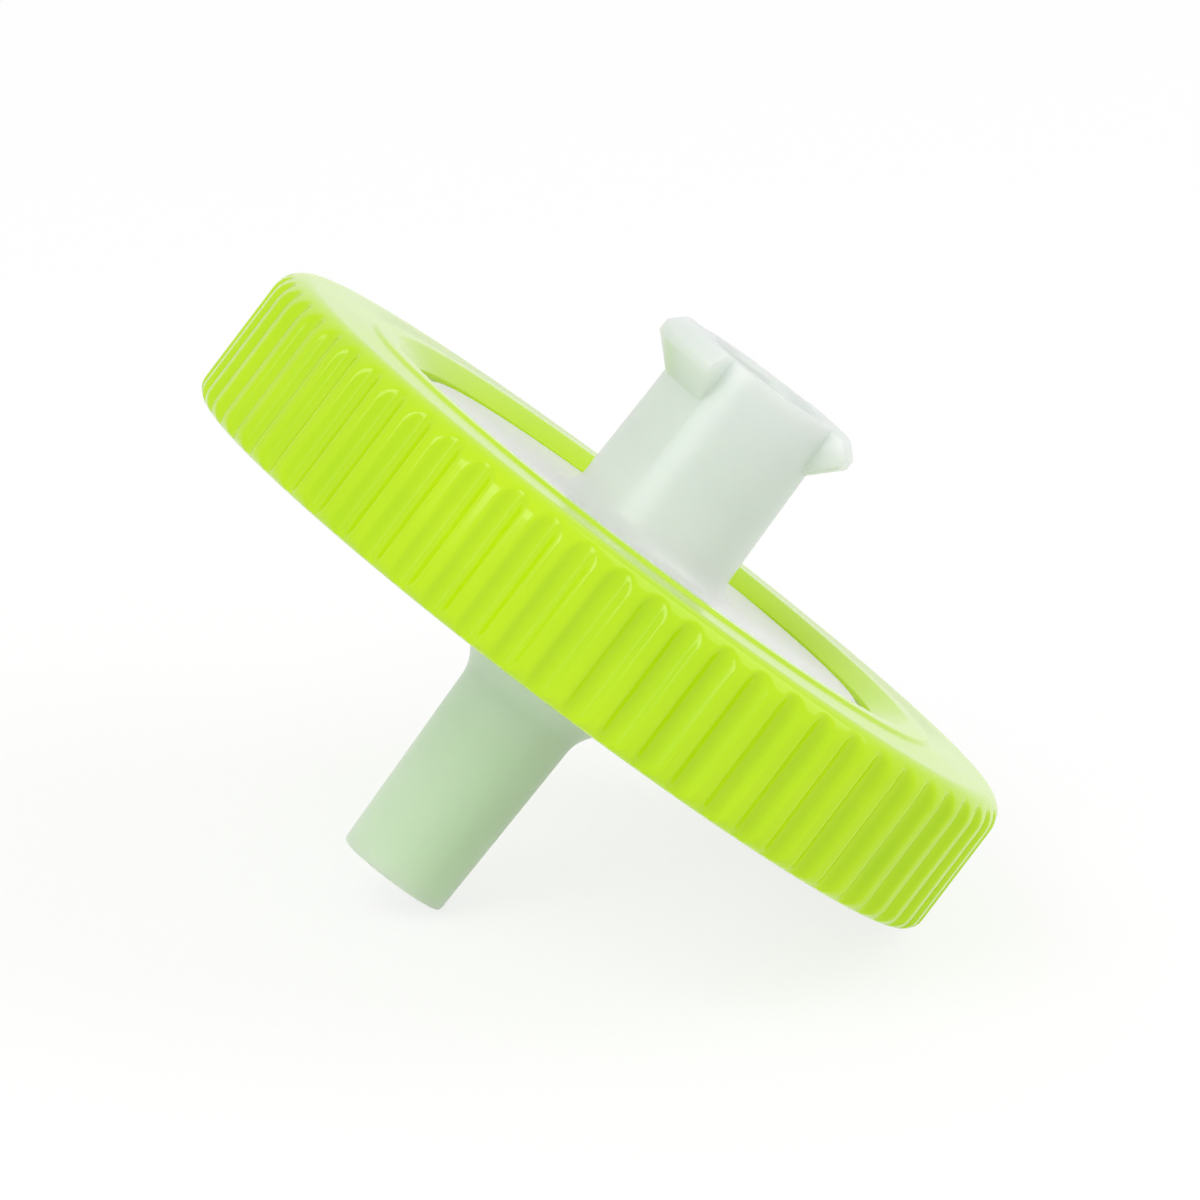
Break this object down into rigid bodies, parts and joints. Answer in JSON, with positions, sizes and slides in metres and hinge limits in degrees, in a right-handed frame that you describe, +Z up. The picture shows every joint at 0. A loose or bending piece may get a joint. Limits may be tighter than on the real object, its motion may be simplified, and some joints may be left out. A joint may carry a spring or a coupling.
{
  "type": "syringe filter",
  "caption": "Disc syringe filter with a ribbed grip ring moulded round a pale plastic housing, a female luer lock inlet on one side and a male luer slip outlet on the other.",
  "frame": {"origin": "middle of the bounding box's base, on the surface that the filter lies on", "axes": "+Z up. The filter lies tipped on its grip ring's outlet edge and on the edge of its outlet tip, so its flow axis lies in the XZ plane and its inlet points up and towards +X, 54.7 degrees above the floor. +Y runs along the disc's level diameter."},
  "size_m": [0.027, 0.03, 0.0211],
  "materials": {
    "natural_polypropylene": "smooth, milky and slightly translucent",
    "cellulose_ester_membrane": "matt white, like paper",
    "lime_polypropylene": "smooth and glossy"
  },
  "bodies": {
    "root": {"inlet_shell": "natural_polypropylene", "outlet_shell": "natural_polypropylene", "membrane": "cellulose_ester_membrane", "grip_ring": "lime_polypropylene"}
  },
  "joints": []
}
